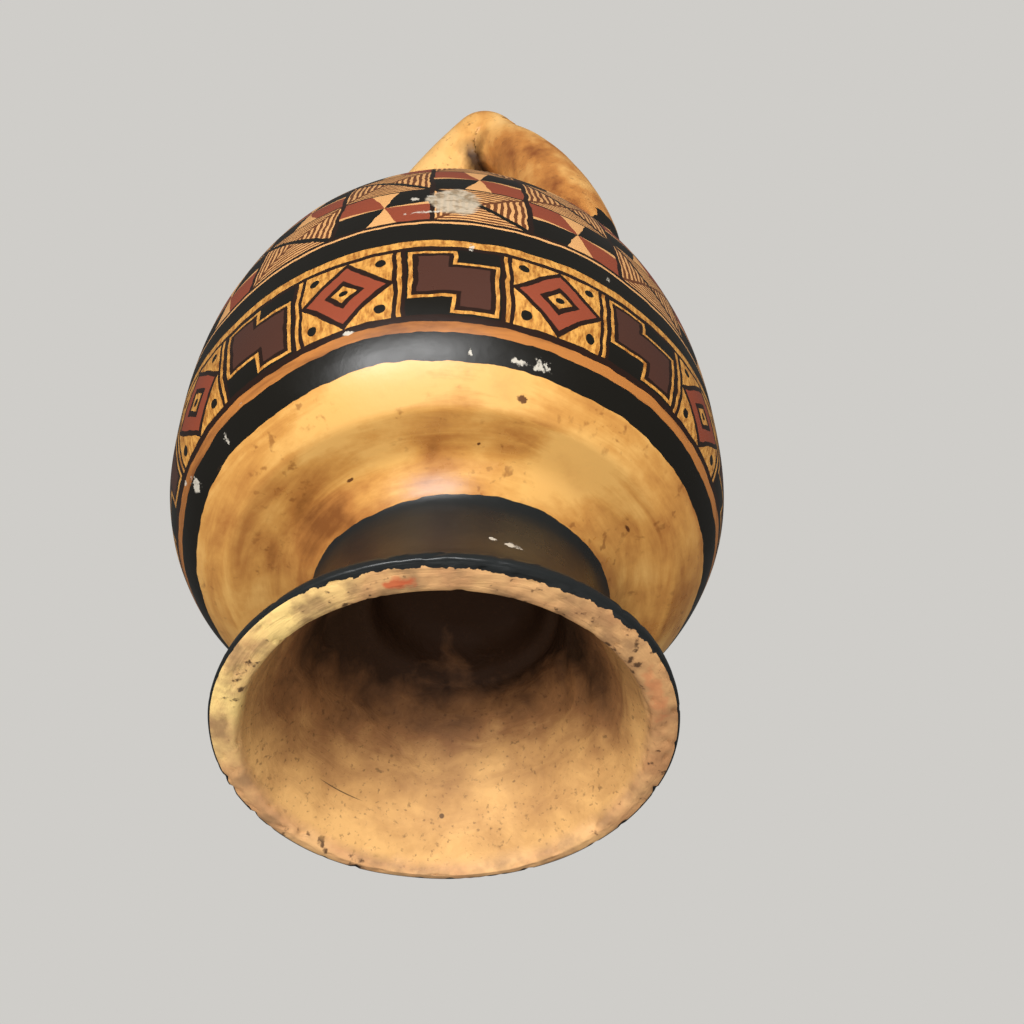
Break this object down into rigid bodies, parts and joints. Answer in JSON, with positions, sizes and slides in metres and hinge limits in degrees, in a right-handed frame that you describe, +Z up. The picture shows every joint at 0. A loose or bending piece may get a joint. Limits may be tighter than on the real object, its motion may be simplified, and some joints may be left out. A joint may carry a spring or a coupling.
{
  "type": "stirrup spout vessel",
  "caption": "Hollow round fired-clay vessel on a flared hollow foot, with a pointed stirrup of hollow legs and a short leaning spout, painted with diamond and stepped-fret bands.",
  "frame": {"origin": "middle of the foot, on the plane that the foot's rim rests on", "axes": "+Z up from the foot to the spout, the stirrup's two legs in the XZ plane, the spout leaning back towards +Y"},
  "size_m": [0.1188, 0.1188, 0.2662],
  "materials": {
    "burnished_clay": "hand-burnished cream slip over fired clay, painted with black, brick red and purple-brown slip, worn and scuffed, soft sheen"
  },
  "bodies": {
    "root": {"vessel": "burnished_clay"}
  },
  "joints": []
}
